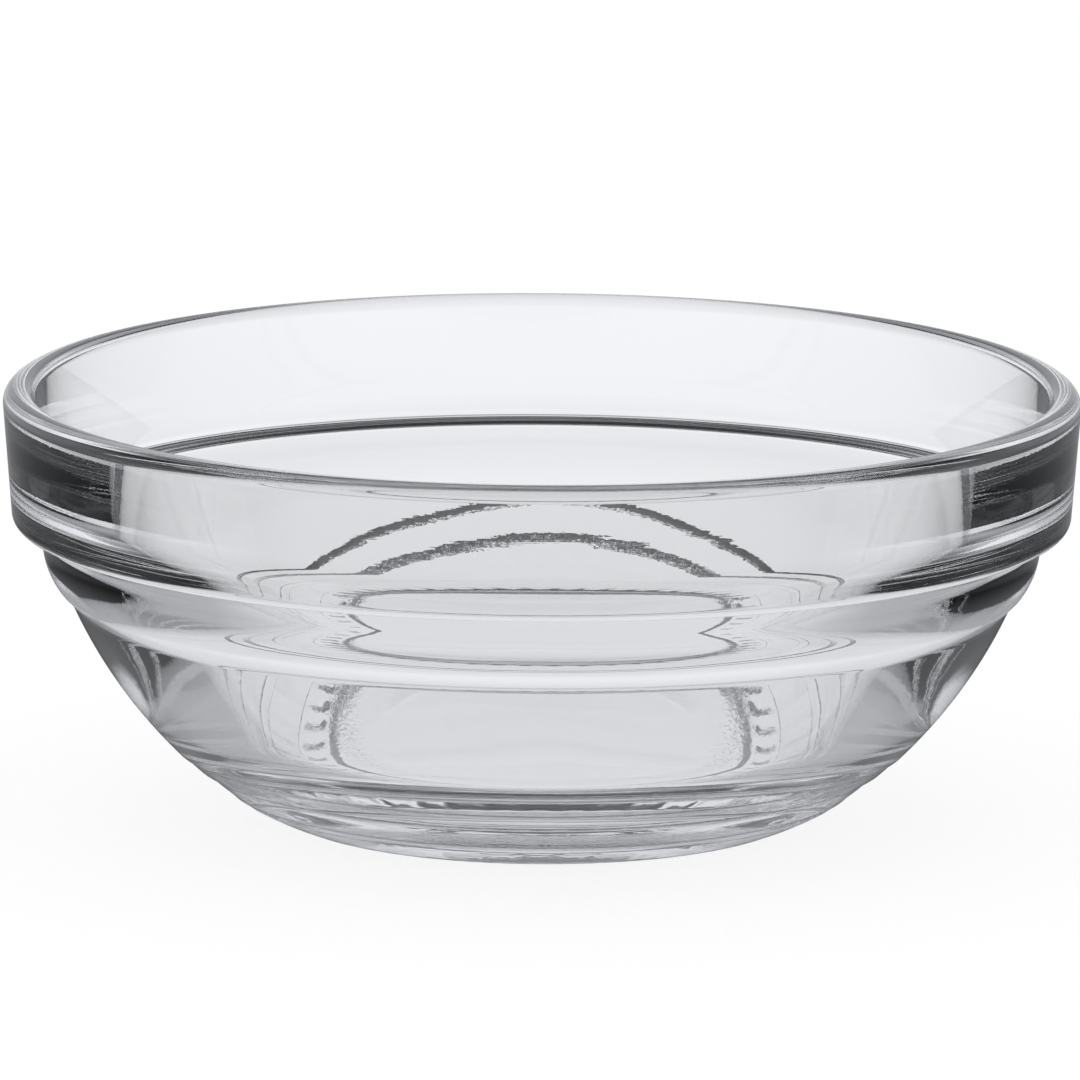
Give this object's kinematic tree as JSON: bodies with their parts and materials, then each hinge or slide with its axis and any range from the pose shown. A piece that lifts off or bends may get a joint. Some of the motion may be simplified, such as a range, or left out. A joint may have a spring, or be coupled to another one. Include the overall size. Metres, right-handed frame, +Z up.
{
  "type": "prep bowl",
  "caption": "Small round stacking prep bowl of clear pressed glass: rounded lip, collar with a stacking ledge, curved body and a low foot ring.",
  "frame": {"origin": "centre of the foot ring, on the plane that the bowl stands on", "axes": "+Z up along the bowl's axis of symmetry; X and Y are level and alike, because the bowl is round"},
  "size_m": [0.105, 0.105, 0.0424],
  "materials": {
    "clear_glass": "clear pressed and tempered glass, fire polished, faint mould lines"
  },
  "bodies": {
    "root": {"bowl": "clear_glass"}
  },
  "joints": []
}
